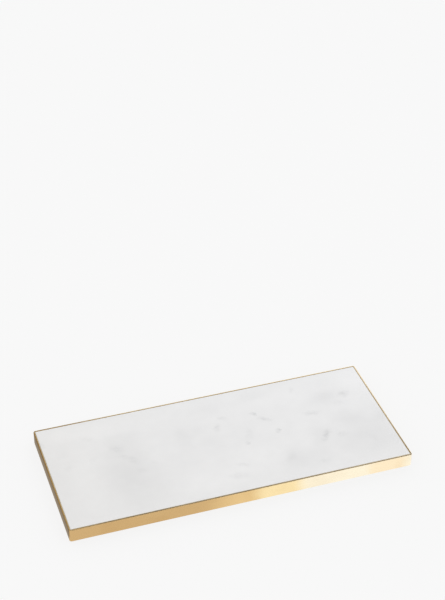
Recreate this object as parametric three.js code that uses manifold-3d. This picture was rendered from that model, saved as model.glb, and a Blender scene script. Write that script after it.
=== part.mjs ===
// A dresser vanity tray: a flat marble slab framed by a brass band, standing on four felt pads.
// Millimetres, +Z up. The origin is the middle of the tray on the surface that it stands on.
// X runs along the tray's length and -Y points to its front.

import * as THREE from "three";
import { mergeVertices } from "three/addons/utils/BufferGeometryUtils.js";
import Module from "manifold-3d";

const wasm = await Module();
wasm.setup();

// Driving dimensions.
const TRAY_LENGTH = 300;
const TRAY_DEPTH = 131.5;
const CORNER_RADIUS = 2; // outside of the band, seen from above
const BAND_HEIGHT = 12;
const BAND_THICKNESS = 1.2;
const BAND_ARRIS = 0.3; // rounding of the band's outer edges
const BRAZE_WIDTH = 0.6; // the gap between the band's two ends, filled with braze
const BOND_THICKNESS = 0.4; // epoxy between the slab's edge and the band
const BOND_RECESS = 0.1; // how far the epoxy stays below the slab's top
const BAND_LAP = 0.4; // how far the band reaches below the slab's underside
const SLAB_ARRIS = 0.2;
const PAD_RADIUS = 8;
const PAD_HEIGHT = 1.5;
const PAD_ARRIS = 0.25;
const PAD_INSET = 18; // from the tray's outside to a pad's centre
const ADHESIVE_RADIUS = 7.6;
const ADHESIVE_HEIGHT = 0.2;

// Levels above the surface that the tray stands on.
const SLAB_BOTTOM = PAD_HEIGHT + ADHESIVE_HEIGHT;
const BAND_BOTTOM = SLAB_BOTTOM - BAND_LAP;
const BAND_TOP = BAND_BOTTOM + BAND_HEIGHT;

// Distances in from the band's outside.
const BAND_INSIDE = BAND_THICKNESS;
const SLAB_OUTSIDE = BAND_THICKNESS + BOND_THICKNESS;

const CORNER_SEGMENTS = 5; // three.js doubles these on an arc
const DISC_SEGMENTS = 14;
const ARRIS_SEGMENTS = 2;
const CUT_MARGIN = 1; // how far a cutting solid stands past what it cuts

const MARBLE = new THREE.MeshStandardMaterial({ color: 0xe7e7e8, roughness: 0.35, metalness: 0 });
const BRASS = new THREE.MeshStandardMaterial({ color: 0xe0bb74, roughness: 0.25, metalness: 1 });
const BRAZE = new THREE.MeshStandardMaterial({ color: 0xd8b985, roughness: 0.4, metalness: 1 });
const EPOXY = new THREE.MeshStandardMaterial({ color: 0xcfc8b4, roughness: 0.45, metalness: 0 });
const FELT = new THREE.MeshStandardMaterial({ color: 0xc9c5bd, roughness: 0.95, metalness: 0 });
const FILM = new THREE.MeshStandardMaterial({ color: 0xe9e2cf, roughness: 0.5, metalness: 0 });

// The tray's outline from above, moved in from the band's outside. All corners keep one centre.
function outline(inset) {
  const radius = CORNER_RADIUS - inset;
  const centreX = TRAY_LENGTH / 2 - CORNER_RADIUS;
  const centreY = TRAY_DEPTH / 2 - CORNER_RADIUS;
  const quarter = Math.PI / 2;
  return new THREE.Shape()
    .absarc(centreX, -centreY, radius, -quarter, 0)
    .absarc(centreX, centreY, radius, 0, quarter)
    .absarc(-centreX, centreY, radius, quarter, 2 * quarter)
    .absarc(-centreX, -centreY, radius, 2 * quarter, 3 * quarter);
}

function disc(radius) {
  return new THREE.Shape().absarc(0, 0, radius, 0, 2 * Math.PI);
}

// A flat plate from one level to another, with its outer edges rounded by the arris.
function plate(shape, bottom, top, arris, curveSegments) {
  const geometry = new THREE.ExtrudeGeometry(shape, {
    depth: top - bottom - 2 * arris,
    curveSegments,
    bevelEnabled: arris > 0,
    bevelThickness: arris,
    bevelSize: arris,
    bevelOffset: -arris,
    bevelSegments: ARRIS_SEGMENTS,
  });
  return geometry.translate(0, 0, bottom + arris);
}

function solidOf(geometry) {
  const bare = geometry.clone();
  bare.deleteAttribute("normal");
  bare.deleteAttribute("uv");
  const merged = mergeVertices(bare, 1e-4);
  return new wasm.Manifold(
    new wasm.Mesh({
      numProp: 3,
      vertProperties: merged.attributes.position.array,
      triVerts: new Uint32Array(merged.index.array),
    }),
  );
}

function geometryOf(solid) {
  const { vertProperties, triVerts } = solid.getMesh();
  const geometry = new THREE.BufferGeometry();
  geometry.setAttribute("position", new THREE.BufferAttribute(vertProperties, 3));
  geometry.setIndex(new THREE.BufferAttribute(triVerts, 1));
  geometry.computeVertexNormals();
  return geometry;
}

function named(name, geometry, material) {
  const mesh = new THREE.Mesh(geometry, material);
  mesh.name = name;
  return mesh;
}

// The closed brass ring, before it is parted at the middle of the back.
function bandRing() {
  const blank = plate(outline(0), BAND_BOTTOM, BAND_TOP, BAND_ARRIS, CORNER_SEGMENTS);
  const inside = plate(
    outline(BAND_INSIDE),
    BAND_BOTTOM - CUT_MARGIN,
    BAND_TOP + CUT_MARGIN,
    0,
    CORNER_SEGMENTS,
  );
  return solidOf(blank).subtract(solidOf(inside));
}

// The space between the two ends of the bent strip.
function brazeGap() {
  const deep = BAND_THICKNESS + 2 * CUT_MARGIN;
  const gap = new THREE.BoxGeometry(BRAZE_WIDTH, deep, BAND_HEIGHT + 2 * CUT_MARGIN);
  gap.translate(0, (TRAY_DEPTH - BAND_THICKNESS) / 2, (BAND_BOTTOM + BAND_TOP) / 2);
  return solidOf(gap);
}

function makeFrame() {
  const ring = bandRing();
  const gap = brazeGap();
  const frame = new THREE.Group();
  frame.add(
    named("brass_edge_band", geometryOf(ring.subtract(gap)), BRASS),
    named("band_braze_joint", geometryOf(ring.intersect(gap)), BRAZE),
  );
  return frame;
}

function makeSlab() {
  const slab = plate(outline(SLAB_OUTSIDE), SLAB_BOTTOM, BAND_TOP, SLAB_ARRIS, CORNER_SEGMENTS);
  return named("marble_slab", slab, MARBLE);
}

// The epoxy is a thin ring round the slab, from the slab's underside nearly to its top.
function makeBondLine() {
  const shape = outline(BAND_INSIDE);
  shape.holes.push(outline(SLAB_OUTSIDE));
  const bond = plate(shape, SLAB_BOTTOM, BAND_TOP - BOND_RECESS, 0, CORNER_SEGMENTS);
  return named("slab_bond_line", bond, EPOXY);
}

// A felt disc and the sticky film that holds it to the underside of the slab.
function makePad(corner, x, y) {
  const felt = plate(disc(PAD_RADIUS), 0, PAD_HEIGHT, PAD_ARRIS, DISC_SEGMENTS);
  const film = plate(disc(ADHESIVE_RADIUS), PAD_HEIGHT, SLAB_BOTTOM, 0, DISC_SEGMENTS);
  const pad = new THREE.Group();
  pad.add(named(`felt_pad_${corner}`, felt, FELT), named(`pad_adhesive_${corner}`, film, FILM));
  pad.position.set(x, y, 0);
  return pad;
}

function makePads() {
  const pads = new THREE.Group();
  const padX = TRAY_LENGTH / 2 - PAD_INSET;
  const padY = TRAY_DEPTH / 2 - PAD_INSET;
  for (const [depth, y] of [["front", -padY], ["rear", padY]]) {
    for (const [side, x] of [["left", -padX], ["right", padX]]) {
      pads.add(makePad(`${depth}_${side}`, x, y));
    }
  }
  return pads;
}

const tray = new THREE.Group();
tray.add(makeSlab(), makeFrame(), makeBondLine(), makePads());

export default tray;
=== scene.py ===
"""Finished pieces of a brass-edged marble vanity tray, made around its fixed frame.

Lengths are in metres and +Z is up. The origin is the middle of the tray, on the surface that it stands on.
"""

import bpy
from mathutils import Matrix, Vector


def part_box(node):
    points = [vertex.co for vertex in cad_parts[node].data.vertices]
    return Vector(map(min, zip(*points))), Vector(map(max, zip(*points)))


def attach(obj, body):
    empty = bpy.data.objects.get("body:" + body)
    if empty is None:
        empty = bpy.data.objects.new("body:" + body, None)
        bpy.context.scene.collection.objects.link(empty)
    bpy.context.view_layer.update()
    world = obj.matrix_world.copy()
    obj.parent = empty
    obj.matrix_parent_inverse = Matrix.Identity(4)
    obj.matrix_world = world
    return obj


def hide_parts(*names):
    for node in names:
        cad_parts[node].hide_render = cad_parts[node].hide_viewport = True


bl_info = {
    "name": "Marble Vanity Tray",
    "version": (1, 0, 0),
    "blender": (4, 5, 0),
    "location": "3D View > Sidebar > Vanity Tray",
    "description": "Makes the slab, edge band, bond line, pads and studio of a brass-edged marble tray",
    "category": "Object",
}

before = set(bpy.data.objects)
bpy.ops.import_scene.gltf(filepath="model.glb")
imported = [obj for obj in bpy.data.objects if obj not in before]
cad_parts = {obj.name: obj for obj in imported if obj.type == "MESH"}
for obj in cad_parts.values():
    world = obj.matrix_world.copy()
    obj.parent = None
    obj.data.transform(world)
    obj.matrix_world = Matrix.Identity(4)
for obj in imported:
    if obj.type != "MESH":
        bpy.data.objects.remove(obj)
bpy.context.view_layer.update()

import math

import bpy
from bpy.props import FloatProperty, FloatVectorProperty, IntProperty, PointerProperty
from mathutils import Vector, noise

MM = 0.001
PER_MM = 1000.0
BODY = "root"
CORNERS = ("front_left", "front_right", "rear_left", "rear_right")

# Places that the frame fixes.
BAND_LOW, BAND_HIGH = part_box("brass_edge_band")
BRAZE_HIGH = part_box("band_braze_joint")[1]
BOND_LOW, BOND_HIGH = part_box("slab_bond_line")
SLAB_LOW, SLAB_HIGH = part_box("marble_slab")
BAND_THICKNESS = BAND_HIGH.x - BOND_HIGH.x
BOND_THICKNESS = BOND_HIGH.x - SLAB_HIGH.x
SLAB_INSET = BAND_HIGH.x - SLAB_HIGH.x

# How finely the outlines are cut up.
PATH_SPACING = 2.0 * MM
CORNER_STEPS = 14
SLAB_SPACING = 0.6 * MM
ARRIS_STEPS = 4
PAD_SIDES = 96
BRAZE_STEPS = 6
SMALLEST_RADIUS = 0.4 * MM

# The small chips along the slab's edges.
CHIP_WIDTH = 1.6 * MM
CHIP_MARGIN = 0.35 * MM  # the flat top starts this far in from the rounded edge
CHIP_SLOPE = 0.6  # how far a chip goes down for each unit that it goes in
CHIP_FREE = 0.62  # a larger share leaves more of the edge whole

# The waves in the polished band and in the filed braze.
BAND_WAVES_PER_METRE = 30.0
BRAZE_WAVES_PER_METRE = 900.0

# The epoxy in the joint and the bead of it under the slab.
BOND_ROUNDING = 0.3  # as a share of the joint's width
SAG_WAVES_PER_METRE = 140.0
LUMPS_PER_METRE = 180.0
LUMP_SIZES = (0.45, 1.0)
BEAD_SIDES = 10

# The felt pads and their films. Each ring of a disc's side is a share of its rounding and of its height.
PAD_ROUNDING = 0.3 * MM
PAD_UNEVENNESS = 0.14 * MM
PAD_RINGS = (
    (2.0, 0.0),
    (1.0, 0.02),
    (0.35, 0.12),
    (0.05, 0.3),
    (0.0, 0.5),
    (0.06, 0.72),
    (0.3, 0.9),
    (0.8, 0.98),
    (1.8, 1.0),
)
FILM_ROUNDING = 0.05 * MM
FILM_UNEVENNESS = 0.06 * MM
FILM_RINGS = ((1.0, 0.0), (0.0, 0.3), (0.0, 0.7), (1.0, 1.0))
CUT_WIDTH = 2.5 * MM  # how wide the uneven places in a disc's cut are

# The loose fibres of the felt.
FIBRE_TILT = (1.1, 1.1, 3.1)  # the largest turns, in radians
FIBRE_SHORTEST = 0.35  # as a share of the longest
FIBRE_SIDES = 3
FIBRE_STEPS = 4
STEEPEST_CUT = 0.8  # a face whose normal rises more than this isn't part of the cut edge

# Indices of the colour sockets on a Mix node.
MIX_A = 6
MIX_B = 7
MIX_RESULT = 2

NOISE_RANGE = (0.3, 0.7)  # where most of a noise lies


# ---------------------------------------------------------------- settings


class TrayBandSettings(bpy.types.PropertyGroup):
    corner_radius: FloatProperty(
        name="Corner radius",
        description="Outside radius of the band's corners, seen from above",
        default=2.0 * MM,
        unit="LENGTH",
    )
    arris: FloatProperty(
        name="Arris",
        description="Rounding of the strip's long edges",
        default=0.3 * MM,
        unit="LENGTH",
    )
    waviness: FloatProperty(
        name="Waviness",
        description="How deep the polishing wheel left its shallow waves",
        default=0.025 * MM,
        unit="LENGTH",
    )
    colour: FloatVectorProperty(
        name="Brass",
        description="Colour of the polished brass",
        default=(0.92, 0.71, 0.41),
        subtype="COLOR",
    )
    tarnish: FloatVectorProperty(
        name="Tarnish",
        description="Colour of the brass where it has dulled a little",
        default=(0.83, 0.61, 0.33),
        subtype="COLOR",
    )
    braze: FloatVectorProperty(
        name="Braze",
        description="Colour of the filler metal in the joint at the back",
        default=(0.82, 0.66, 0.42),
        subtype="COLOR",
    )
    roughness: FloatProperty(
        name="Roughness",
        description="Roughness of the polished brass between its polishing lines",
        default=0.2,
        subtype="FACTOR",
    )


class TraySlabSettings(bpy.types.PropertyGroup):
    arris: FloatProperty(
        name="Arris",
        description="Rounding of the slab's upper and lower edges",
        default=0.25 * MM,
        unit="LENGTH",
    )
    chip_depth: FloatProperty(
        name="Chip depth",
        description="How deep the small saw chips along the slab's edges are",
        default=0.25 * MM,
        unit="LENGTH",
    )
    light_colour: FloatVectorProperty(
        name="Marble",
        description="Colour of the clear white marble",
        default=(0.874, 0.870, 0.866),
        subtype="COLOR",
    )
    dark_colour: FloatVectorProperty(
        name="Flecks",
        description="Colour of the darkest mineral flecks",
        default=(0.40, 0.405, 0.41),
        subtype="COLOR",
    )
    roughness: FloatProperty(
        name="Roughness",
        description="Roughness of the polished top",
        default=0.35,
        subtype="FACTOR",
    )


class TrayBondSettings(bpy.types.PropertyGroup):
    sag: FloatProperty(
        name="Sag",
        description="How unevenly the epoxy stands in its joint at the top",
        default=0.07 * MM,
        unit="LENGTH",
    )
    bead: FloatProperty(
        name="Bead",
        description="Radius of the epoxy squeezed out under the slab",
        default=0.32 * MM,
        unit="LENGTH",
    )
    colour: FloatVectorProperty(
        name="Epoxy",
        description="Colour of the cured epoxy",
        default=(0.50, 0.43, 0.31),
        subtype="COLOR",
    )


class TrayPadSettings(bpy.types.PropertyGroup):
    fibre_density: FloatProperty(
        name="Fibres",
        description="Loose fibres on each square metre of the felt's cut edge",
        default=6.0e6,
        min=0.0,
    )
    fibre_length: FloatProperty(
        name="Fibre length",
        description="Longest loose fibre",
        default=0.55 * MM,
        unit="LENGTH",
    )
    fibre_width: FloatProperty(
        name="Fibre width",
        description="Thickness of a loose fibre",
        default=0.035 * MM,
        unit="LENGTH",
    )
    seed: IntProperty(
        name="Seed",
        description="Changes how the loose fibres lie",
        default=11,
    )
    felt: FloatVectorProperty(
        name="Felt",
        description="Colour of the pressed wool felt",
        default=(0.55, 0.53, 0.49),
        subtype="COLOR",
    )
    film: FloatVectorProperty(
        name="Adhesive film",
        description="Colour of the sticky film between the pads and the slab",
        default=(0.80, 0.75, 0.63),
        subtype="COLOR",
    )


class TrayStudioSettings(bpy.types.PropertyGroup):
    azimuth: FloatProperty(
        name="Azimuth",
        description="How far the camera stands round the tray, from its front",
        default=math.radians(-18.31),
        subtype="ANGLE",
    )
    elevation: FloatProperty(
        name="Elevation",
        description="How far the camera looks down",
        default=math.radians(34.91),
        subtype="ANGLE",
    )
    distance: FloatProperty(
        name="Distance",
        description="From the camera to the point that it looks at",
        default=1518 * MM,
        unit="LENGTH",
    )
    aim: FloatVectorProperty(
        name="Aim",
        description="The point on the level of the slab's top that the camera looks at",
        default=(68.5 * MM, 203.0 * MM, SLAB_HIGH.z),
        subtype="TRANSLATION",
    )
    focal_length: FloatProperty(
        name="Focal length",
        description="The camera's focal length in millimetres",
        default=93.73,
        unit="CAMERA",
    )
    floor_tone: FloatProperty(
        name="Floor tone",
        description="How bright the plain floor and background look",
        default=0.939,
        subtype="FACTOR",
    )
    key_power: FloatProperty(
        name="Key light",
        description="Power of the soft light at the back",
        default=0.03,
        unit="POWER",
    )


# ---------------------------------------------------------------- node helpers


def add(tree, kind, inputs=None, **settings):
    """Adds a node to a tree. An input takes a value or another node's output."""
    node = tree.nodes.new(kind)
    for name, value in settings.items():
        setattr(node, name, value)
    for key, value in (inputs or {}).items():
        if isinstance(value, bpy.types.NodeSocket):
            tree.links.new(value, node.inputs[key])
        else:
            node.inputs[key].default_value = value
    return node


def calculate(tree, operation, *values):
    return add(tree, "ShaderNodeMath", dict(enumerate(values)), operation=operation).outputs[0]


def vector_maths(tree, operation, *values, output="Vector"):
    node = add(tree, "ShaderNodeVectorMath", dict(enumerate(values)), operation=operation)
    return node.outputs[output]


def scaled(tree, vector, factor):
    node = add(tree, "ShaderNodeVectorMath", {0: vector, "Scale": factor}, operation="SCALE")
    return node.outputs["Vector"]


def separate(tree, vector):
    return add(tree, "ShaderNodeSeparateXYZ", {0: vector}).outputs


def combine(tree, **parts):
    return add(tree, "ShaderNodeCombineXYZ", parts).outputs[0]


def weighted(tree, first, first_weight, second, second_weight):
    rest = calculate(tree, "MULTIPLY", second, second_weight)
    return calculate(tree, "MULTIPLY_ADD", first, first_weight, rest)


def remap(tree, value, low, high, to_low=0.0, to_high=1.0, kind="SMOOTHSTEP"):
    """Takes a value from one range to another, and stays at the ends outside it."""
    ends = {"Value": value, "From Min": low, "From Max": high, "To Min": to_low, "To Max": to_high}
    return add(tree, "ShaderNodeMapRange", ends, interpolation_type=kind).outputs["Result"]


def spread(tree, noise_tone, low, high):
    """Takes a noise evenly to another range."""
    return remap(tree, noise_tone, *NOISE_RANGE, low, high, "LINEAR")


def mix_colours(tree, factor, first, second, clamp=True):
    """The first colour at 0 and the second at 1. Without the clamp, a factor above 1 goes past it."""
    inputs = {0: factor, MIX_A: first, MIX_B: second}
    for key in (MIX_A, MIX_B):
        if not isinstance(inputs[key], bpy.types.NodeSocket):
            inputs[key] = opaque(inputs[key])
    node = add(tree, "ShaderNodeMix", inputs, data_type="RGBA", clamp_factor=clamp)
    return node.outputs[MIX_RESULT]


def colour_ramp(tree, value, stops, interpolation="LINEAR"):
    """Takes a value through colours. Each stop is a value from 0 to 1 and its colour."""
    node = add(tree, "ShaderNodeValToRGB", {"Fac": value})
    ramp = node.color_ramp
    ramp.interpolation = interpolation
    while len(ramp.elements) < len(stops):
        ramp.elements.new(0.5)
    for element, (position, colour) in zip(ramp.elements, stops):
        element.position = position
        element.color = opaque(colour)
    return node.outputs[0]


def noise_value(tree, vector, scale, detail):
    """Noise from 0 to 1. In a Geometry Nodes tree, no vector means the point's own place."""
    inputs = {"Scale": scale, "Detail": detail} | ({"Vector": vector} if vector else {})
    return add(tree, "ShaderNodeTexNoise", inputs).outputs["Fac"]


def opaque(colour):
    return (*colour, 1.0)


def toned(colour, factor):
    """The colour times a factor, with no channel above 1."""
    return tuple(min(1.0, channel * factor) for channel in colour)


def new_group(name, kind, inputs, outputs):
    """A node group with named sockets, given as (name, type, default), and its inner inputs and outputs."""
    tree = bpy.data.node_groups.new(name, kind)
    for direction, sockets in (("INPUT", inputs), ("OUTPUT", outputs)):
        for label, socket_type, default in sockets:
            socket = tree.interface.new_socket(
                label, in_out=direction, socket_type="NodeSocket" + socket_type
            )
            if default is not None:
                socket.default_value = default
    return tree, tree.nodes.new("NodeGroupInput").outputs, tree.nodes.new("NodeGroupOutput").inputs


def use_group(tree, name, inputs):
    """Places a shader node group in a tree with its own values."""
    return add(tree, "ShaderNodeGroup", inputs, node_tree=bpy.data.node_groups[name]).outputs


def bare_material(name):
    material = bpy.data.materials.new(name)
    material.use_nodes = True
    material.node_tree.nodes.clear()
    return material, material.node_tree


def new_material(name, **constants):
    """A node material with one Principled shader, whose constant inputs are given by name."""
    material, tree = bare_material(name)
    shader = tree.nodes.new("ShaderNodeBsdfPrincipled")
    for key, value in constants.items():
        shader.inputs[key.replace("_", " ")].default_value = value
    add(tree, "ShaderNodeOutputMaterial", {"Surface": shader.outputs[0]})
    return material, tree, shader


def place_in_mm(tree):
    """The place on the piece in millimetres."""
    return scaled(tree, tree.nodes.new("ShaderNodeTexCoord").outputs["Object"], PER_MM)


def finish_shader(tree, shader, colour, roughness, height, depth):
    """Links the colour, the roughness and the bumps, whose height from 0 to 1 stands for depth metres."""
    bump = add(tree, "ShaderNodeBump", {"Height": height, "Distance": depth, "Strength": 1.0})
    tree.links.new(colour, shader.inputs["Base Color"])
    tree.links.new(roughness, shader.inputs["Roughness"])
    tree.links.new(bump.outputs["Normal"], shader.inputs["Normal"])


# ---------------------------------------------------------------- shared shader effects


def make_patch_group():
    """Darkens or clears an oval patch of stone, which fades from its middle to its outline."""
    tree, given, result = new_group(
        "Stone Patch",
        "ShaderNodeTree",
        [
            ("Tone", "Float", 1.0),
            ("Vector", "Vector", None),
            ("Centre", "Vector", None),
            ("Size", "Vector", None),
            ("Turn", "Vector", None),
            ("Depth", "Float", 0.2),
        ],
        [("Tone", "Float", None)],
    )
    sizes = {
        "Vector": given["Vector"],
        "Location": given["Centre"],
        "Rotation": given["Turn"],
        "Scale": given["Size"],
    }
    local = add(tree, "ShaderNodeMapping", sizes, vector_type="TEXTURE").outputs[0]
    reach = vector_maths(tree, "LENGTH", local, output="Value")
    mask = remap(tree, reach, 1.0, 0.0)
    drop = calculate(tree, "MULTIPLY", mask, given["Depth"])
    tree.links.new(calculate(tree, "SUBTRACT", given["Tone"], drop), result["Tone"])


def make_grain_group():
    """Fine crystals or fibres: a tone from 0 to 1, and a height for bumps."""
    tree, given, result = new_group(
        "Grain",
        "ShaderNodeTree",
        [("Vector", "Vector", None), ("Per mm", "Float", 1.0), ("Detail", "Float", 3.0)],
        [("Tone", "Float", None), ("Height", "Float", None)],
    )
    fine = noise_value(tree, given["Vector"], given["Per mm"], given["Detail"])
    spots = {"Vector": given["Vector"], "Scale": given["Per mm"]}
    cells = add(tree, "ShaderNodeTexVoronoi", spots).outputs["Distance"]
    tree.links.new(fine, result["Tone"])
    tree.links.new(weighted(tree, cells, 0.4, fine, 0.7), result["Height"])


def make_smudge_group():
    """Faint handling marks: a change of roughness above and below zero."""
    tree, given, result = new_group(
        "Smudges",
        "ShaderNodeTree",
        [("Vector", "Vector", None), ("Per mm", "Float", 0.05), ("Amount", "Float", 0.05)],
        [("Change", "Float", None)],
    )
    wide = noise_value(tree, given["Vector"], given["Per mm"], detail=4.0)
    centred = calculate(tree, "SUBTRACT", wide, 0.5)
    doubled = calculate(tree, "MULTIPLY", centred, 2.0)
    tree.links.new(calculate(tree, "MULTIPLY", doubled, given["Amount"]), result["Change"])


def make_polish_group():
    """Fine lines left by polishing or filing, long across the directions of low density."""
    tree, given, result = new_group(
        "Polish Lines",
        "ShaderNodeTree",
        [("Vector", "Vector", None), ("Density", "Vector", None)],
        [("Lines", "Float", None)],
    )
    drawn = vector_maths(tree, "MULTIPLY", given["Vector"], given["Density"])
    tree.links.new(noise_value(tree, drawn, scale=1.0, detail=4.0), result["Lines"])


def make_shared_effects():
    if "Stone Patch" in bpy.data.node_groups:
        return
    make_patch_group()
    make_grain_group()
    make_smudge_group()
    make_polish_group()


def grain_at(tree, place, per_mm, detail):
    return use_group(tree, "Grain", {"Vector": place, "Per mm": per_mm, "Detail": detail})


def smudged(tree, place, roughness, per_mm, amount):
    """A roughness with faint handling marks."""
    marks = use_group(tree, "Smudges", {"Vector": place, "Per mm": per_mm, "Amount": amount})
    return calculate(tree, "ADD", marks["Change"], roughness)


def lines_along(tree, place, density):
    return use_group(tree, "Polish Lines", {"Vector": place, "Density": density})["Lines"]


# ---------------------------------------------------------------- materials

# Soft patches in the marble: x, y, half length, half width, turn in degrees, depth. Millimetres.
# A negative depth is a clearer patch.
CLOUDS = (
    (-86, -17, 68, 37, 88, 0.15),
    (-88, 14, 18, 12, 0, 0.03),
    (-74, 29, 26, 15, 0, 0.07),
    (-150, -14, 90, 32, 90, 0.055),
    (126, -30, 50, 40, 10, 0.12),
    (146, -6, 22, 14, 60, 0.07),
    (107, 31, 24, 13, 10, 0.11),
    (117, -2, 24, 16, -10, 0.09),
    (84, -14, 20, 13, 57, 0.075),
    (55, -38, 24, 17, 60, 0.09),
    (52, -36, 13, 7, 60, 0.09),
    (78, -34, 22, 14, 40, 0.06),
    (64, -48, 34, 16, 0, 0.06),
    (48, 53, 24, 10, 0, 0.065),
    (4, 46, 30, 14, 0, 0.05),
    (-22, 22, 36, 16, 0, 0.045),
    (-30, 17, 32, 11, 88, 0.05),
    (-8, 2, 16, 14, 0, 0.04),
    (-18, -45, 46, 24, 6, -0.075),
    (26, -28, 30, 26, 0, -0.04),
    (70, 44, 44, 24, -14, -0.05),
    (142, 48, 40, 34, -40, -0.07),
    (-48, 48, 20, 11, 0, -0.03),
    (-112, 50, 40, 19, 0, -0.065),
)

# Small mineral flecks, in the same form.
FLECKS = (
    (-88, 20, 10.0, 7.0, -40, 0.13),
    (-84, 8, 7.0, 5.0, -50, 0.09),
    (-78, 2, 8.5, 5.0, -65, 0.11),
    (-74, -13, 6.0, 4.0, -30, 0.07),
    (-108, 40, 13.0, 5.5, -30, 0.06),
    (-133, 26, 8.0, 5.0, 20, 0.03),
    (-133, 8, 7.0, 5.0, 60, 0.05),
    (-110, 12, 8.0, 4.5, 60, 0.05),
    (-147, 45, 3.5, 7.0, 10, 0.12),
    (39, 28, 4.6, 3.6, -30, 0.37),
    (46, 19, 9.5, 3.8, -38, 0.20),
    (3, 20, 8.5, 4.2, 72, 0.17),
    (11, 31, 7.0, 4.5, -20, 0.10),
    (52.5, 0, 4.8, 3.4, 68, 0.31),
    (88, 13.5, 11.0, 5.0, -5, 0.19),
    (90, -18, 12.5, 5.2, 57, 0.24),
    (103, -21, 8.0, 6.5, 0, 0.10),
    (125, 30, 8.5, 6.8, 20, 0.20),
    (116, 20, 7.0, 5.5, 0, 0.08),
    (82, 50, 6.5, 3.4, 75, 0.12),
    (22, -8, 4.2, 3.2, 10, 0.15),
    (26, 3, 13.0, 6.0, 70, 0.08),
    (9, -33, 8.5, 4.2, -24, 0.12),
    (1, -45, 14.0, 6.5, -8, 0.10),
    (128, -34, 9.0, 5.0, -60, 0.06),
    (76, -50, 8.0, 4.2, 0, 0.08),
    (-62, -6, 5.0, 3.6, 0, 0.05),
)

# How deep below the top the clouds and flecks go, and how far their outlines wander. Millimetres.
CLOUD_REACH = 36.0
FLECK_REACH = 9.0
CLOUD_WARP = 10.2
FLECK_WARP = 5.44

# How many features of each kind fit in a millimetre of stone.
MIST_PER_MM = 0.022
CLOUD_WARPS_PER_MM = 0.05
MOTTLE_PER_MM = 0.09
FLECK_WARPS_PER_MM = 0.25
BREAKS_PER_MM = 0.3
CRYSTALS_PER_MM = 1.1

# What each kind does: the mist sets the tone, the breaks thin out the flecks, and the others add to the tone.
MIST_TONE = (0.98, 1.02)
BREAK_STRENGTH = (0.5, 1.35)
MOTTLE_TONE = (-0.015, 0.015)
CRYSTAL_TONE = (-0.012, 0.012)

STONE_RELIEF = 0.12 * MM
PIT_SHARE = 0.02  # how deep the polished top's pits are, as a share of the relief

# The slab's sawn underside, in its hollows and on its ridges, and the middle of the saw's arcs.
SAWN_LOW = (0.66, 0.65, 0.63)
SAWN_HIGH = (0.77, 0.765, 0.75)
SAW_CENTRE = (-420.0, 260.0, 0.0)
POLISH_END = (0.6, 0.1)  # millimetres above the underside, where the polish gives way to the sawn face
SAWN_ROUGHNESS = 0.4  # what the sawn face has on top of the polished one


def stone_patches(tree, tone, vector, patches, reach):
    """Lays soft ovals of stone over a tone, one node for each."""
    top = SLAB_HIGH.z * PER_MM
    for x, y, length, width, turn, depth in patches:
        values = {
            "Tone": tone,
            "Vector": vector,
            "Centre": (x, y, top),
            "Size": (length, width, reach),
            "Turn": (0.0, 0.0, math.radians(turn)),
            "Depth": depth,
        }
        tone = use_group(tree, "Stone Patch", values)["Tone"]
    return tone


def wandering(tree, place, per_mm, distance):
    """The place, moved about by noise, so that what is drawn with it has a natural outline."""
    inputs = {"Vector": place, "Scale": per_mm, "Detail": 3.0}
    push = add(tree, "ShaderNodeTexNoise", inputs).outputs["Color"]
    centred = vector_maths(tree, "SUBTRACT", push, (0.5, 0.5, 0.5))
    return vector_maths(tree, "ADD", place, scaled(tree, centred, distance))


def marble_tone(tree, place):
    """Tone of the stone: 1 is clear white and 0 is the darkest fleck."""
    mist = spread(tree, noise_value(tree, place, MIST_PER_MM, detail=3.0), *MIST_TONE)
    soft = wandering(tree, place, CLOUD_WARPS_PER_MM, CLOUD_WARP)
    clouded = stone_patches(tree, mist, soft, CLOUDS, CLOUD_REACH)
    ragged = wandering(tree, place, FLECK_WARPS_PER_MM, FLECK_WARP)
    flecked = stone_patches(tree, clouded, ragged, FLECKS, FLECK_REACH)
    drop = calculate(tree, "SUBTRACT", clouded, flecked)
    breaks = noise_value(tree, place, BREAKS_PER_MM, detail=4.0)
    broken = remap(tree, breaks, 0.36, 0.64, *BREAK_STRENGTH, "LINEAR")
    tone = calculate(tree, "SUBTRACT", clouded, calculate(tree, "MULTIPLY", drop, broken))
    mottle = spread(tree, noise_value(tree, place, MOTTLE_PER_MM, detail=3.0), *MOTTLE_TONE)
    return calculate(tree, "ADD", tone, mottle)


def sawn_height(tree, place):
    """Shallow uneven arcs that the saw left on the slab's underside, and the roughness between them."""
    radius = vector_maths(tree, "DISTANCE", place, SAW_CENTRE, output="Value")
    arcs = noise_value(tree, combine(tree, X=radius), scale=0.3, detail=5.0)
    rough = noise_value(tree, place, scale=0.9, detail=4.0)
    return weighted(tree, arcs, 0.65, rough, 0.35)


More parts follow.
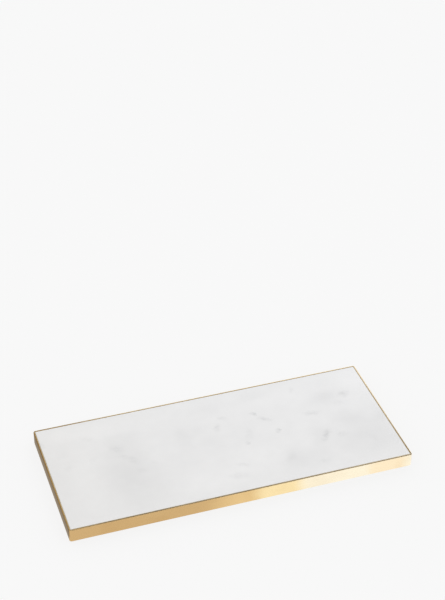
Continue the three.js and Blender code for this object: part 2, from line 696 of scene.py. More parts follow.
def make_marble(settings):
    material, tree, shader = new_material("white_marble_polished", Specular_IOR_Level=0.5)
    place = place_in_mm(tree)
    rise = calculate(tree, "SUBTRACT", separate(tree, place)["Z"], SLAB_LOW.z * PER_MM)
    underside = remap(tree, rise, *POLISH_END)
    grain = grain_at(tree, place, CRYSTALS_PER_MM, detail=3.0)
    crystals = spread(tree, grain["Tone"], *CRYSTAL_TONE)
    tone = calculate(tree, "ADD", marble_tone(tree, place), crystals)
    stone = mix_colours(tree, tone, settings.dark_colour, settings.light_colour, clamp=False)
    sawn = sawn_height(tree, place)
    sawn_tone = mix_colours(tree, remap(tree, sawn, 0.38, 0.62), SAWN_LOW, SAWN_HIGH)
    colour = mix_colours(tree, underside, stone, sawn_tone)
    polished = smudged(tree, place, settings.roughness, per_mm=0.03, amount=0.05)
    roughness = calculate(tree, "MULTIPLY_ADD", underside, SAWN_ROUGHNESS, polished)
    saw = calculate(tree, "MULTIPLY", sawn, underside)
    height = calculate(tree, "MULTIPLY_ADD", grain["Height"], PIT_SHARE, saw)
    finish_shader(tree, shader, colour, roughness, height, STONE_RELIEF)
    return material


def make_brass(settings):
    material, tree, shader = new_material("brass_polished", Metallic=1.0)
    place = place_in_mm(tree)
    lines = lines_along(tree, place, density=(0.03, 0.03, 5.0))
    clouds = noise_value(tree, place, scale=0.035, detail=4.0)
    dull = remap(tree, clouds, 0.42, 0.72, 0.0, 0.5)
    brass = mix_colours(tree, dull, settings.colour, settings.tarnish)
    streaked = scaled(tree, brass, spread(tree, lines, 0.965, 1.035))
    smooth = smudged(tree, place, settings.roughness, per_mm=0.06, amount=0.03)
    roughness = calculate(tree, "ADD", smooth, spread(tree, lines, -0.04, 0.04))
    finish_shader(tree, shader, streaked, roughness, lines, depth=0.004 * MM)
    return material


def make_braze(settings):
    material, tree, shader = new_material("braze_filed", Metallic=1.0)
    place = place_in_mm(tree)
    files = lines_along(tree, place, density=(7.0, 7.0, 0.5))
    mottle = noise_value(tree, place, scale=1.4, detail=3.0)
    filler = mix_colours(tree, mottle, settings.braze, settings.tarnish)
    smooth = smudged(tree, place, roughness=0.34, per_mm=0.8, amount=0.08)
    roughness = calculate(tree, "ADD", smooth, spread(tree, files, -0.06, 0.06))
    finish_shader(tree, shader, filler, roughness, files, depth=0.012 * MM)
    return material


def make_epoxy(settings):
    material, tree, shader = new_material("epoxy_cured")
    place = place_in_mm(tree)
    cloudy = noise_value(tree, place, scale=0.12, detail=3.0)
    resin = mix_colours(tree, cloudy, settings.colour, toned(settings.colour, 1.25))
    grain = grain_at(tree, place, per_mm=2.4, detail=2.0)
    roughness = smudged(tree, place, roughness=0.4, per_mm=0.3, amount=0.1)
    finish_shader(tree, shader, resin, roughness, grain["Height"], depth=0.03 * MM)
    return material


def make_felt(settings):
    material, tree, shader = new_material(
        "wool_felt", Specular_IOR_Level=0.2, Sheen_Weight=0.35, Sheen_Roughness=0.5
    )
    place = place_in_mm(tree)
    fibres = grain_at(tree, place, per_mm=5.0, detail=4.0)
    clumps = grain_at(tree, place, per_mm=1.7, detail=3.0)
    shade = weighted(tree, clumps["Tone"], 0.6, fibres["Tone"], 0.4)
    dark = toned(settings.felt, 0.82)
    light = toned(settings.felt, 1.14)
    wool = mix_colours(tree, remap(tree, shade, 0.35, 0.65), dark, light)
    roughness = remap(tree, fibres["Tone"], *NOISE_RANGE, 0.85, 1.0)
    finish_shader(tree, shader, wool, roughness, fibres["Height"], depth=0.08 * MM)
    return material


def make_film(settings):
    material, tree, shader = new_material("adhesive_film_cream", Specular_IOR_Level=0.4)
    grain = grain_at(tree, place_in_mm(tree), per_mm=1.6, detail=3.0)
    cream = mix_colours(tree, grain["Tone"], settings.film, toned(settings.film, 1.1))
    roughness = remap(tree, grain["Tone"], *NOISE_RANGE, 0.42, 0.6)
    finish_shader(tree, shader, cream, roughness, grain["Height"], depth=0.02 * MM)
    return material


# ---------------------------------------------------------------- geometry nodes

SHAPE_SOCKET = (("Geometry", "Geometry", None),)


def make_strip_tree():
    """Sweeps a rectangular strip with rounded arrises along a level path, and waves its faces a little."""
    tree, given, result = new_group(
        "Strip Sweep",
        "GeometryNodeTree",
        [
            *SHAPE_SOCKET,
            ("Thickness", "Float", 1.2 * MM),
            ("Height", "Float", 12 * MM),
            ("Arris", "Float", 0.3 * MM),
            ("Waviness", "Float", 0.02 * MM),
            ("Waves per metre", "Float", BAND_WAVES_PER_METRE),
            ("Material", "Material", None),
        ],
        SHAPE_SOCKET,
    )
    swept = swept_section(tree, given, given["Thickness"], given["Height"], given["Arris"])
    wave = noise_value(tree, None, given["Waves per metre"], detail=2.0)
    inward = calculate(tree, "SUBTRACT", wave, 1.0)
    push = calculate(tree, "MULTIPLY", inward, given["Waviness"])
    outwards = tree.nodes.new("GeometryNodeInputNormal").outputs[0]
    finish_tree(tree, moved(tree, swept, scaled(tree, outwards, push)), given["Material"], result)
    return tree


def moved(tree, geometry, offset):
    return add(tree, "GeometryNodeSetPosition", {"Geometry": geometry, "Offset": offset}).outputs[0]


def joined(tree, first, second):
    join = tree.nodes.new("GeometryNodeJoinGeometry")
    tree.links.new(first, join.inputs[0])
    tree.links.new(second, join.inputs[0])
    return join.outputs[0]


def round_section(tree, sides, radius):
    inputs = {"Resolution": sides, "Radius": radius}
    return add(tree, "GeometryNodeCurvePrimitiveCircle", inputs, mode="RADIUS").outputs[0]


def swept_section(tree, given, width, height, arris):
    """The given path, swept with a rounded rectangle and closed at its ends."""
    path = add(tree, "GeometryNodeMeshToCurve", {"Mesh": given["Geometry"]}).outputs[0]
    level = add(tree, "GeometryNodeSetCurveNormal", {"Curve": path}, mode="Z_UP").outputs[0]
    size = {"Width": width, "Height": height}
    section = add(tree, "GeometryNodeCurvePrimitiveQuadrilateral", size, mode="RECTANGLE").outputs[0]
    rounding = {"Curve": section, "Count": ARRIS_STEPS, "Radius": arris}
    rounded = add(tree, "GeometryNodeFilletCurve", rounding, mode="POLY").outputs[0]
    fine = add(tree, "GeometryNodeSubdivideCurve", {"Curve": rounded, "Cuts": 1}).outputs[0]
    sweep = {"Curve": level, "Profile Curve": fine, "Fill Caps": True}
    return add(tree, "GeometryNodeCurveToMesh", sweep).outputs[0]


def finish_tree(tree, geometry, material, result):
    """Ends a tree: smooth shading, real geometry, and its material."""
    smooth = add(tree, "GeometryNodeSetShadeSmooth", {"Geometry": geometry}).outputs[0]
    real = add(tree, "GeometryNodeRealizeInstances", {"Geometry": smooth}).outputs[0]
    final = add(tree, "GeometryNodeSetMaterial", {"Geometry": real, "Material": material}).outputs[0]
    tree.links.new(final, result["Geometry"])


def make_bond_tree():
    """Fills the joint round the slab with epoxy, and lays the bead that was squeezed out under the slab."""
    tree, given, result = new_group(
        "Epoxy Joint",
        "GeometryNodeTree",
        [
            *SHAPE_SOCKET,
            ("Thickness", "Float", 0.4 * MM),
            ("Height", "Float", 12 * MM),
            ("Sag", "Float", 0.1 * MM),
            ("Bead", "Float", 0.3 * MM),
            ("Bead inset", "Float", 0.3 * MM),
            ("Material", "Material", None),
        ],
        SHAPE_SOCKET,
    )
    arris = calculate(tree, "MULTIPLY", given["Thickness"], BOND_ROUNDING)
    ring = swept_section(tree, given, given["Thickness"], given["Height"], arris)
    place = tree.nodes.new("GeometryNodeInputPosition").outputs[0]
    middle = (SLAB_LOW.z + SLAB_HIGH.z) / 2
    upper = calculate(tree, "GREATER_THAN", separate(tree, place)["Z"], middle)
    waves = noise_value(tree, None, SAG_WAVES_PER_METRE, detail=3.0)
    drop = calculate(tree, "MULTIPLY", waves, given["Sag"])
    lower = combine(tree, Z=calculate(tree, "MULTIPLY", drop, -1.0))
    sag = {"Geometry": ring, "Selection": upper, "Offset": lower}
    sagged = add(tree, "GeometryNodeSetPosition", sag).outputs[0]
    finish_tree(tree, joined(tree, sagged, epoxy_bead(tree, given)), given["Material"], result)
    return tree


def epoxy_bead(tree, given):
    """A lumpy bead in the angle between the slab's underside and the band."""
    path = add(tree, "GeometryNodeMeshToCurve", {"Mesh": given["Geometry"]}).outputs[0]
    along = tree.nodes.new("GeometryNodeInputTangent").outputs[0]
    across = vector_maths(tree, "CROSS_PRODUCT", (0.0, 0.0, 1.0), along)
    inwards = scaled(tree, across, given["Bead inset"])
    down = combine(tree, Z=calculate(tree, "MULTIPLY", given["Height"], -0.5))
    placed = moved(tree, path, vector_maths(tree, "ADD", inwards, down))
    lumps = spread(tree, noise_value(tree, None, LUMPS_PER_METRE, detail=3.0), *LUMP_SIZES)
    uneven = add(tree, "GeometryNodeSetCurveRadius", {"Curve": placed, "Radius": lumps}).outputs[0]
    sweep = {"Curve": uneven, "Profile Curve": round_section(tree, BEAD_SIDES, given["Bead"])}
    return add(tree, "GeometryNodeCurveToMesh", sweep).outputs[0]


def make_fibre_tree():
    """Grows short loose fibres out of the cut edge of a felt piece."""
    tree, given, result = new_group(
        "Felt Fibres",
        "GeometryNodeTree",
        [
            *SHAPE_SOCKET,
            ("Density", "Float", 1.0e6),
            ("Length", "Float", 0.5 * MM),
            ("Width", "Float", 0.03 * MM),
            ("Seed", "Int", 0),
            ("Material", "Material", None),
        ],
        SHAPE_SOCKET,
    )
    facing = separate(tree, tree.nodes.new("GeometryNodeInputNormal").outputs[0])
    steepness = calculate(tree, "ABSOLUTE", facing["Z"])
    growth = {
        "Mesh": given["Geometry"],
        "Selection": calculate(tree, "LESS_THAN", steepness, STEEPEST_CUT),
        "Density": given["Density"],
        "Seed": given["Seed"],
    }
    spots = add(tree, "GeometryNodeDistributePointsOnFaces", growth, distribute_method="RANDOM").outputs
    tilt = random_vector(tree, tuple(-angle for angle in FIBRE_TILT), FIBRE_TILT, given["Seed"])
    turns = {"Rotation": spots["Rotation"], "Rotate By": tilt}
    fibres = {
        "Points": spots["Points"],
        "Instance": one_fibre(tree, given),
        "Rotation": add(tree, "FunctionNodeRotateRotation", turns, rotation_space="LOCAL").outputs[0],
        "Scale": random_vector(tree, (FIBRE_SHORTEST,) * 3, (1.0,) * 3, given["Seed"]),
    }
    placed = add(tree, "GeometryNodeInstanceOnPoints", fibres).outputs[0]
    real = add(tree, "GeometryNodeRealizeInstances", {"Geometry": placed}).outputs[0]
    furred = joined(tree, given["Geometry"], kept_above_floor(tree, real))
    finish_tree(tree, furred, given["Material"], result)
    return tree


def random_vector(tree, low, high, seed):
    node = tree.nodes.new("FunctionNodeRandomValue")
    node.data_type = "FLOAT_VECTOR"
    node.inputs[0].default_value = low
    node.inputs[1].default_value = high
    tree.links.new(seed, node.inputs["Seed"])
    return node.outputs[0]


def one_fibre(tree, given):
    """A bent fibre with three sides."""
    halfway = calculate(tree, "MULTIPLY", given["Length"], 0.5)
    middle = combine(tree, X=halfway, Z=halfway)
    end = combine(tree, Y=halfway, Z=given["Length"])
    bend = {"Resolution": FIBRE_STEPS, "Start": (0.0, 0.0, 0.0), "Middle": middle, "End": end}
    line = add(tree, "GeometryNodeCurveQuadraticBezier", bend).outputs[0]
    section = round_section(tree, FIBRE_SIDES, calculate(tree, "MULTIPLY", given["Width"], 0.5))
    sweep = {"Curve": line, "Profile Curve": section, "Fill Caps": True}
    return add(tree, "GeometryNodeCurveToMesh", sweep).outputs[0]


def kept_above_floor(tree, geometry):
    """No fibre reaches below what the pad stands on, or above the slab's underside."""
    place = tree.nodes.new("GeometryNodeInputPosition").outputs[0]
    lifted = vector_maths(tree, "MAXIMUM", place, (-1.0, -1.0, 0.0))
    ceiling = (1.0, 1.0, SLAB_LOW.z)
    clear = vector_maths(tree, "MINIMUM", lifted, ceiling)
    return add(tree, "GeometryNodeSetPosition", {"Geometry": geometry, "Position": clear}).outputs[0]


# ---------------------------------------------------------------- meshes


def straight_run(start, end, steps):
    """Points from start to end, without start itself."""
    return [start.lerp(end, i / steps) for i in range(1, steps + 1)]


def outline_points(corner_radius, inset, spacing, level=0.0):
    """Points round the tray, moved in from the band's outside, anticlockwise from the middle of the back.

    Outlines with the same spacing have the same number of points, whatever their inset.
    """
    radius = max(corner_radius - inset, SMALLEST_RADIUS)
    reach_x = BAND_HIGH.x - inset - radius
    reach_y = BAND_HIGH.y - inset - radius
    half_long = math.ceil(BAND_HIGH.x / spacing)
    short = math.ceil(2 * BAND_HIGH.y / spacing)
    corners = (
        (-reach_x, reach_y, 90, half_long),
        (-reach_x, -reach_y, 180, short),
        (reach_x, -reach_y, 270, 2 * half_long),
        (reach_x, reach_y, 0, short),
    )
    first = Vector((0.0, reach_y + radius, level))
    points = [first]
    for x, y, start, steps in corners:
        arc = []
        for step in range(CORNER_STEPS + 1):
            angle = math.radians(start + 90 * step / CORNER_STEPS)
            arc.append(Vector((x + radius * math.cos(angle), y + radius * math.sin(angle), level)))
        points += straight_run(points[-1], arc[0], steps)
        points += arc[1:]
    points += straight_run(points[-1], first, half_long)[:-1]
    return points


def scene_object(name, data):
    thing = bpy.data.objects.new(name, data)
    bpy.context.scene.collection.objects.link(thing)
    return thing


def mesh_object(name, points, edges, faces):
    mesh = bpy.data.meshes.new(name)
    mesh.from_pydata(points, edges, faces)
    return scene_object(name, mesh)


def path_object(name, points, closed):
    """A chain of edges for a Geometry Nodes tree to sweep along."""
    edges = [(i, i + 1) for i in range(len(points) - 1)]
    if closed:
        edges.append((len(points) - 1, 0))
    return mesh_object(name, points, edges, [])


def lofted_object(name, loops, material):
    """A closed mesh through level loops of points, anticlockwise from above, from the lowest upwards."""
    sides = len(loops[0])
    faces = [tuple(reversed(range(sides)))]
    for low in range(0, (len(loops) - 1) * sides, sides):
        high = low + sides
        for i in range(sides):
            j = (i + 1) % sides
            faces.append((low + i, low + j, high + j, high + i))
    top = (len(loops) - 1) * sides
    faces.append(tuple(range(top, top + sides)))
    piece = mesh_object(name, [point for loop in loops for point in loop], [], faces)
    piece.data.polygons.foreach_set("use_smooth", [True] * len(faces))
    piece.data.materials.append(material)
    return piece


def run_tree(piece, tree, values):
    """Gives a piece a Geometry Nodes tree and its values, by the identifiers of the tree's sockets."""
    modifier = piece.modifiers.new(tree.name, "NODES")
    modifier.node_group = tree
    for socket in tree.interface.items_tree:
        if socket.in_out == "INPUT" and socket.name in values:
            modifier[socket.identifier] = values[socket.name]


def settle(piece):
    """Evens the shading of flat faces beside rounded edges, and turns all modifiers into plain mesh."""
    even = piece.modifiers.new("Even shading", "WEIGHTED_NORMAL")
    even.keep_sharp = True
    bpy.context.view_layer.update()
    evaluated = piece.evaluated_get(bpy.context.evaluated_depsgraph_get())
    mesh = bpy.data.meshes.new_from_object(evaluated)
    mesh.name = piece.name
    piece.modifiers.clear()
    piece.data = mesh
    if not mesh.polygons:
        raise RuntimeError(f"{piece.name} came out empty")


def stand_for(piece, node):
    """Puts a finished piece in the frame in the place of a node."""
    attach(piece, BODY)
    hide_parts(node)


def slab_loops(settings, corner_radius):
    """Level loops of the slab, from the underside to the top, with rounded and slightly chipped edges."""
    arris = settings.arris
    flat = arris + CHIP_MARGIN
    loops = [outline_points(corner_radius, SLAB_INSET + flat, SLAB_SPACING, SLAB_LOW.z)]
    angles = [math.pi / 2 * step / ARRIS_STEPS for step in range(ARRIS_STEPS + 1)]
    for angle in angles:
        inset, rise = arris * (1 - math.sin(angle)), arris * (1 - math.cos(angle))
        loops.append(chipped_loop(settings, corner_radius, inset, SLAB_LOW.z + rise, 1.0))
    for angle in reversed(angles):
        inset, drop = arris * (1 - math.sin(angle)), arris * (1 - math.cos(angle))
        loops.append(chipped_loop(settings, corner_radius, inset, SLAB_HIGH.z - drop, -1.0))
    loops.append(outline_points(corner_radius, SLAB_INSET + flat, SLAB_SPACING, SLAB_HIGH.z))
    return loops


def chipped_loop(settings, corner_radius, inset, level, inwards):
    """One loop on the slab's edge, pushed in and up or down where small chips have come off."""
    depth = settings.chip_depth
    sound = outline_points(corner_radius, SLAB_INSET + inset, SLAB_SPACING, level)
    deep_level = level + inwards * CHIP_SLOPE * depth
    deepest = outline_points(corner_radius, SLAB_INSET + inset + depth, SLAB_SPACING, deep_level)
    return [outer.lerp(inner, chip_share(outer)) for outer, inner in zip(sound, deepest)]


def chip_share(point):
    """From 0 to 1: how deep the chip is at a point on an edge. Most of the edge has none."""
    rough = noise.noise(point / CHIP_WIDTH) * 0.5 + 0.5
    return max(0.0, (rough - CHIP_FREE) / (1.0 - CHIP_FREE))


def disc_loops(box, rings, rounding, unevenness):
    """Level loops of a disc that fills a box, with a rounded side and a slightly uneven cut."""
    low, high = box
    centre = (low + high) / 2
    radius = (high.x - low.x) / 2
    loops = []
    for inset, share in rings:
        level = low.z + (high.z - low.z) * share
        loops.append(disc_loop(centre, radius - inset * rounding, level, unevenness))
    return loops


def disc_loop(centre, radius, level, unevenness):
    """A circle whose radius varies inwards a little."""
    points = []
    for side in range(PAD_SIDES):
        angle = 2 * math.pi * side / PAD_SIDES
        outwards = Vector((math.cos(angle), math.sin(angle), 0.0))
        wander = noise.noise((centre + outwards * radius) / CUT_WIDTH) * 0.5 + 0.5
        points.append(Vector((centre.x, centre.y, level)) + outwards * (radius - wander * unevenness))
    return points


# ---------------------------------------------------------------- operators


class TRAY_OT_make_slab(bpy.types.Operator):
    """Makes the marble slab with its rounded, faintly chipped edges"""

    bl_idname = "vanity_tray.make_slab"
    bl_label = "Marble Slab"

    def execute(self, context):
        make_shared_effects()
        settings = context.scene.tray_slab
        loops = slab_loops(settings, context.scene.tray_band.corner_radius)
        slab = lofted_object("slab", loops, make_marble(settings))
        settle(slab)
        stand_for(slab, "marble_slab")
        return {"FINISHED"}


class TRAY_OT_make_band(bpy.types.Operator):
    """Bends the brass strip round the slab and closes it with the brazed joint at the back"""

    bl_idname = "vanity_tray.make_band"
    bl_label = "Edge Band"

    def execute(self, context):
        make_shared_effects()
        settings = context.scene.tray_band
        tree = make_strip_tree()
        half_gap = BRAZE_HIGH.x
        middle = (BAND_LOW.z + BAND_HIGH.z) / 2
        centre_inset = BAND_THICKNESS / 2
        points = outline_points(settings.corner_radius, centre_inset, PATH_SPACING, middle)
        back = points[0].y
        left_end = Vector((-half_gap, back, middle))
        right_end = Vector((half_gap, back, middle))
        common = {
            "Thickness": BAND_THICKNESS,
            "Height": BAND_HIGH.z - BAND_LOW.z,
            "Arris": settings.arris,
        }
        band = path_object("edge_band", [left_end, *points[1:], right_end], closed=False)
        waves = {
            "Waviness": settings.waviness,
            "Waves per metre": BAND_WAVES_PER_METRE,
            "Material": make_brass(settings),
        }
        run_tree(band, tree, common | waves)
        settle(band)
        stand_for(band, "brass_edge_band")
        steps = straight_run(left_end, right_end, BRAZE_STEPS)
        braze = path_object("braze_joint", [left_end, *steps], closed=False)
        marks = {
            "Waviness": 2 * settings.waviness,
            "Waves per metre": BRAZE_WAVES_PER_METRE,
            "Material": make_braze(settings),
        }
        run_tree(braze, tree, common | marks)
        settle(braze)
        stand_for(braze, "band_braze_joint")
        return {"FINISHED"}


class TRAY_OT_make_bond(bpy.types.Operator):
    """Fills the joint between the slab and the band with epoxy"""

    bl_idname = "vanity_tray.make_bond"
    bl_label = "Bond Line"

    def execute(self, context):
        make_shared_effects()
        settings = context.scene.tray_bond
        inset = BAND_THICKNESS + BOND_THICKNESS / 2
        middle = (BOND_LOW.z + BOND_HIGH.z) / 2
        points = outline_points(context.scene.tray_band.corner_radius, inset, PATH_SPACING, middle)
        bond = path_object("bond_line", points, closed=True)
        values = {
            "Thickness": BOND_THICKNESS,
            "Height": BOND_HIGH.z - BOND_LOW.z,
            "Sag": settings.sag,
            "Bead": settings.bead,
            "Bead inset": settings.bead,
            "Material": make_epoxy(settings),
        }
        run_tree(bond, make_bond_tree(), values)
        settle(bond)
        stand_for(bond, "slab_bond_line")
        return {"FINISHED"}


class TRAY_OT_make_pads(bpy.types.Operator):
    """Makes the four felt pads and the sticky films that hold them to the slab"""

    bl_idname = "vanity_tray.make_pads"
    bl_label = "Pads"

    def execute(self, context):
        make_shared_effects()
        settings = context.scene.tray_pads
        tree = make_fibre_tree()
        felt = make_felt(settings)
        film_material = make_film(settings)
        for index, corner in enumerate(CORNERS):
            felt_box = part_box("felt_pad_" + corner)
            loops = disc_loops(felt_box, PAD_RINGS, PAD_ROUNDING, PAD_UNEVENNESS)
            pad = lofted_object("pad_" + corner, loops, felt)
            fibres = {
                "Density": settings.fibre_density,
                "Length": settings.fibre_length,
                "Width": settings.fibre_width,
                "Seed": settings.seed + index,
                "Material": felt,
            }
            run_tree(pad, tree, fibres)
            settle(pad)
            stand_for(pad, "felt_pad_" + corner)
            film_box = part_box("pad_adhesive_" + corner)
            loops = disc_loops(film_box, FILM_RINGS, FILM_ROUNDING, FILM_UNEVENNESS)
            film = lofted_object("film_" + corner, loops, film_material)
            settle(film)
            stand_for(film, "pad_adhesive_" + corner)
        return {"FINISHED"}


class TRAY_OT_make_studio(bpy.types.Operator):
    """Sets up the pale floor, the soft light and the camera"""

    bl_idname = "vanity_tray.make_studio"
    bl_label = "Studio"

    def execute(self, context):
        settings = context.scene.tray_studio
        context.scene.view_settings.view_transform = "Standard"
        make_floor(settings)
        make_world(settings)
        make_screen()
        make_key_light(settings)
        make_camera(settings)
        return {"FINISHED"}


# ---------------------------------------------------------------- studio

# What the polished brass mirrors of the floor: a glowing card of painted light and painted shadow, a painted
# reflection. Only glossy rays see it.
CARD_SCALE = 1.8  # a card's colours go up to this
CARD_WARM = (0.68, 0.58, 0.45)
CARD_AMBER = (0.88, 0.80, 0.65)
CARD_MIDDLE = (1.08, 1.13, 1.10)
CARD_BRIGHT = (1.10, 1.29, 1.72)
CARD_GOLD = (1.10, 1.19, 1.43)
# Painted shadow: the tray's shadow on the floor past its left end, as the brass mirrors it.
CARD_SHADE_NEAR = (0.31, 0.29, 0.27)
CARD_SHADE_FAR = (0.14, 0.09, 0.03)
CARD_ELSEWHERE = (0.80, 0.77, 0.70)
# The painted light in front of the tray, by its millimetres along it from its middle.
CARD_ALONG = (
    (-46, CARD_WARM),
    (-2, CARD_AMBER),
    (3, CARD_AMBER),
    (18, CARD_MIDDLE),
    (41, CARD_MIDDLE),
    (57, CARD_BRIGHT),
    (108, CARD_BRIGHT),
    (116, CARD_GOLD),
    (138, CARD_GOLD),
    (147, CARD_BRIGHT),
)
CARD_SLANT = 0.5  # how far the colours lean along the tray for each millimetre in front of it
CARD_WANDER = 14.0  # how far, in millimetres, noise moves them
CARD_WANDERS_PER_MM = 0.05
FRONT_END = (2.0, 8.0)  # millimetres behind the tray's front, where its colours end
SHADE_START = (0.5, -0.5)  # millimetres right of the tray's left end, where the shade starts
SHADE_DEEPENS = (-1.0, -6.0)

FLOOR_REACH = 3.0
FLOOR_DROP = 0.02 * MM  # keeps the floor clear of the pads' undersides
SHADOW_SHARE = 0.12  # how much of the floor's tone a shadow can take away


def on_card(colour):
    """The colour as a share of what the card goes up to."""
    return toned(colour, 1 / CARD_SCALE)


def card_light(tree):
    """Colour of the card, a painted reflection: painted light that changes along the tray's front, and
    painted shadow past the tray's left end.
    """
    place = place_in_mm(tree)
    left_end = -BAND_HIGH.x * PER_MM
    front = -BAND_HIGH.y * PER_MM
    uneven = separate(tree, wandering(tree, place, CARD_WANDERS_PER_MM, CARD_WANDER))
    behind_front = calculate(tree, "SUBTRACT", uneven["Y"], front)
    slanted = calculate(tree, "MULTIPLY_ADD", behind_front, CARD_SLANT, uneven["X"])
    share = remap(tree, slanted, left_end, -left_end, kind="LINEAR")
    stops = [((x - left_end) / (-2 * left_end), on_card(colour)) for x, colour in CARD_ALONG]
    along = colour_ramp(tree, share, stops, "EASE")
    straight = separate(tree, place)
    beside = remap(tree, calculate(tree, "SUBTRACT", straight["Y"], front), *FRONT_END)
    lit = mix_colours(tree, beside, along, on_card(CARD_ELSEWHERE))
    from_end = calculate(tree, "SUBTRACT", straight["X"], left_end)
    deepening = remap(tree, from_end, *SHADE_DEEPENS)
    shade = mix_colours(tree, deepening, on_card(CARD_SHADE_NEAR), on_card(CARD_SHADE_FAR))
    past_end = remap(tree, from_end, *SHADE_START)
    return mix_colours(tree, calculate(tree, "MULTIPLY", past_end, beside), lit, shade)


def make_floor(settings):
    """A wide pale floor that can't be seen from below, so that the tray's underside can."""
    corners = [(-1, -1), (1, -1), (1, 1), (-1, 1)]
    points = [(x * FLOOR_REACH, y * FLOOR_REACH, -FLOOR_DROP) for x, y in corners]
    floor = mesh_object("floor", points, [], [(0, 1, 2, 3)])
    floor.data.materials.append(make_floor_material(settings))


def make_floor_material(settings):
    material, tree = bare_material("pale_floor")
    glow = settings.floor_tone - SHADOW_SHARE * EVEN_LIGHT
    glowing = add(tree, "ShaderNodeEmission", {"Strength": glow}).outputs[0]
    matte = add(tree, "ShaderNodeBsdfDiffuse", {"Color": opaque([SHADOW_SHARE] * 3)}).outputs[0]
    plain = add(tree, "ShaderNodeAddShader", {0: glowing, 1: matte}).outputs[0]
    # Glossy rays see the card instead of the floor: painted reflections of a pool of light and of the tray's
    # shadow.
    card = add(tree, "ShaderNodeEmission", {"Color": card_light(tree), "Strength": CARD_SCALE}).outputs[0]
    mirrored = tree.nodes.new("ShaderNodeLightPath").outputs["Is Glossy Ray"]
    seen = add(tree, "ShaderNodeMixShader", {0: mirrored, 1: plain, 2: card}).outputs[0]
    below = tree.nodes.new("ShaderNodeNewGeometry").outputs["Backfacing"]
    clear = tree.nodes.new("ShaderNodeBsdfTransparent").outputs[0]
    either = add(tree, "ShaderNodeMixShader", {0: below, 1: seen, 2: clear}).outputs[0]
    add(tree, "ShaderNodeOutputMaterial", {"Surface": either})
    return material


# The room that the brass and the stone mirror: the sine of the height above the horizon, and the colour.
ROOM = (
    (0.0, (0.50, 0.46, 0.40)),
    (0.22, (0.42, 0.37, 0.30)),
    (0.38, (0.40, 0.36, 0.30)),
    (0.72, (0.40, 0.36, 0.30)),
    (0.86, (0.95, 0.95, 0.95)),
    (1.0, (1.0, 1.0, 1.0)),
)
FRONT_SHARE = 0.15  # how bright the room in front of the tray is, against the room behind it
FRONT_EDGE = (0.1, -0.1)  # how far back a direction points, where the dark front of the room starts
CEILING_EDGE = (0.95, 0.85)
EVEN_LIGHT = 0.93  # the light that falls on the tray from all sides

KEY_SIZE = 0.5
KEY_PLACE = (0.30, 0.32, 0.42)
KEY_TARGET = (0.1, 0.03, 0.0)

# A tall screen behind the tray, seen only in reflections: pale, but dark above and warm at its left.
SCREEN_DISTANCE = 0.5
SCREEN_SIZE = 1.6
SCREEN_PALE = (0.90, 0.96, 1.08)
SCREEN_BRIGHT = (1.05, 1.12, 1.28)
SCREEN_DARK = (0.07, 0.06, 0.04)
SCREEN_WARM_LOW = (0.26, 0.19, 0.09)
SCREEN_WARM_HIGH = (0.50, 0.42, 0.24)
SCREEN_TOP_EDGE = (0.385, 0.455)
SCREEN_LEFT_EDGE = (0.01, -0.04)
SCREEN_WARM_EDGE = (0.40, 0.53)
SCREEN_RIGHT_EDGE = (0.22, 0.28)
SCREEN_SLANT = 0.18  # how far the dark part's edge climbs for each metre to the right


def make_screen():
    """The screen that the band's top edge mirrors: dark along the tray's front and pale along its back."""
    corners = [(-1, 0), (1, 0), (1, 1), (-1, 1)]
    points = [(x * SCREEN_SIZE, SCREEN_DISTANCE, z * SCREEN_SIZE) for x, z in corners]
    screen = mesh_object("screen", points, [], [(0, 1, 2, 3)])
    screen.data.materials.append(make_screen_material())
    for kind in ("camera", "diffuse", "transmission", "volume_scatter", "shadow"):
        setattr(screen, "visible_" + kind, False)


def make_screen_material():
    material, tree = bare_material("screen_tone")
    parts = separate(tree, tree.nodes.new("ShaderNodeTexCoord").outputs["Object"])
    height = calculate(tree, "MULTIPLY_ADD", parts["X"], -SCREEN_SLANT, parts["Z"])
    upper = remap(tree, height, *SCREEN_TOP_EDGE)
    left = remap(tree, parts["X"], *SCREEN_LEFT_EDGE)
    right = remap(tree, parts["X"], *SCREEN_RIGHT_EDGE)
    raised = remap(tree, parts["Z"], *SCREEN_WARM_EDGE)
    pale = mix_colours(tree, right, SCREEN_PALE, SCREEN_BRIGHT)
    shaded = mix_colours(tree, upper, pale, SCREEN_DARK)
    warm = mix_colours(tree, raised, SCREEN_WARM_LOW, SCREEN_WARM_HIGH)
    tone = mix_colours(tree, left, shaded, warm)
    glow = add(tree, "ShaderNodeEmission", {"Color": tone, "Strength": 1.0}).outputs[0]
    add(tree, "ShaderNodeOutputMaterial", {"Surface": glow})
    return material


def make_world(settings):
    """Even soft light, a plain background, and a darker room with a bright ceiling for reflections."""
    world = bpy.data.worlds.new("studio")
    world.use_nodes = True
    tree = world.node_tree
    tree.nodes.clear()
    towards = separate(tree, tree.nodes.new("ShaderNodeTexCoord").outputs["Generated"])
    in_front = remap(tree, towards["Y"], *FRONT_EDGE)
    below_ceiling = remap(tree, towards["Z"], *CEILING_EDGE)
    dimmed = calculate(tree, "MULTIPLY", in_front, below_ceiling)
    strength = remap(tree, dimmed, 0.0, 1.0, 1.0, FRONT_SHARE, "LINEAR")
    room = background(tree, colour_ramp(tree, towards["Z"], ROOM), strength)
    even = background(tree, opaque([1.0] * 3), EVEN_LIGHT)
    behind = background(tree, opaque([settings.floor_tone] * 3), 1.0)
    path = tree.nodes.new("ShaderNodeLightPath").outputs
    lit = add(tree, "ShaderNodeMixShader", {0: path["Is Glossy Ray"], 1: even, 2: room}).outputs[0]
    seen = add(tree, "ShaderNodeMixShader", {0: path["Is Camera Ray"], 1: lit, 2: behind}).outputs[0]
    add(tree, "ShaderNodeOutputWorld", {"Surface": seen})
    bpy.context.scene.world = world


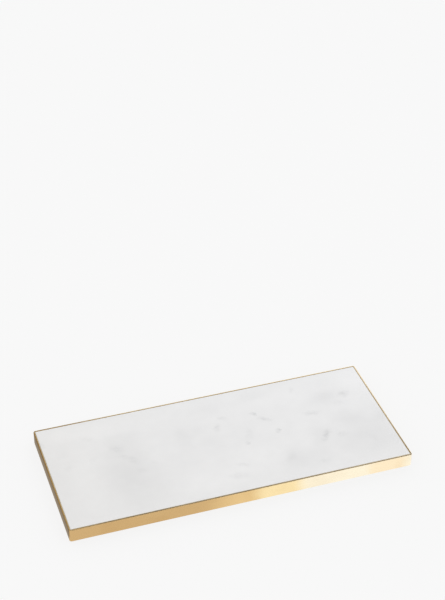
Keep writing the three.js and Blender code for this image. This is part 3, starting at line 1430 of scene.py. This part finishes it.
def background(tree, colour, strength):
    return add(tree, "ShaderNodeBackground", {"Color": colour, "Strength": strength}).outputs[0]


def aim(thing, direction):
    """Turns a lamp or a camera so that it looks along a direction."""
    thing.rotation_mode = "QUATERNION"
    thing.rotation_quaternion = direction.to_track_quat("-Z", "Y")


def make_key_light(settings):
    """A wide soft light behind the tray's right end."""
    light = bpy.data.lights.new("key", "AREA")
    light.shape = "DISK"
    light.size = KEY_SIZE
    light.energy = settings.key_power
    key = scene_object("key", light)
    key.location = KEY_PLACE
    aim(key, Vector(KEY_TARGET) - Vector(KEY_PLACE))
    key.visible_glossy = False


def make_camera(settings):
    azimuth, elevation = settings.azimuth, settings.elevation
    level = math.cos(elevation)
    back = Vector((math.sin(azimuth) * level, -math.cos(azimuth) * level, math.sin(elevation)))
    lens = bpy.data.cameras.new("camera")
    lens.lens = settings.focal_length
    lens.clip_start = 0.01
    camera = scene_object("camera", lens)
    camera.location = Vector(settings.aim) + back * settings.distance
    aim(camera, -back)
    bpy.context.scene.camera = camera


# ---------------------------------------------------------------- panel and registration

SETTINGS = (
    ("tray_slab", TraySlabSettings),
    ("tray_band", TrayBandSettings),
    ("tray_bond", TrayBondSettings),
    ("tray_pads", TrayPadSettings),
    ("tray_studio", TrayStudioSettings),
)
OPERATORS = (
    TRAY_OT_make_studio,
    TRAY_OT_make_slab,
    TRAY_OT_make_band,
    TRAY_OT_make_bond,
    TRAY_OT_make_pads,
)


class TRAY_PT_panel(bpy.types.Panel):
    """Lists the tray's pieces and the sizes and colours that can be changed"""

    bl_idname = "TRAY_PT_panel"
    bl_label = "Vanity Tray"
    bl_space_type = "VIEW_3D"
    bl_region_type = "UI"
    bl_category = "Vanity Tray"

    def draw(self, context):
        for operator in OPERATORS:
            self.layout.operator(operator.bl_idname)
        for name, group in SETTINGS:
            box = self.layout.box()
            for field in group.__annotations__:
                box.prop(getattr(context.scene, name), field)


def register():
    for name, group in SETTINGS:
        bpy.utils.register_class(group)
        setattr(bpy.types.Scene, name, PointerProperty(type=group))
    for operator in OPERATORS:
        bpy.utils.register_class(operator)
    bpy.utils.register_class(TRAY_PT_panel)


def unregister():
    bpy.utils.unregister_class(TRAY_PT_panel)
    for operator in reversed(OPERATORS):
        bpy.utils.unregister_class(operator)
    for name, group in reversed(SETTINGS):
        delattr(bpy.types.Scene, name)
        bpy.utils.unregister_class(group)


def main():
    register()
    bpy.ops.vanity_tray.make_studio()
    bpy.ops.vanity_tray.make_slab()
    bpy.ops.vanity_tray.make_band()
    bpy.ops.vanity_tray.make_bond()
    bpy.ops.vanity_tray.make_pads()


if __name__ == "__main__":
    main()
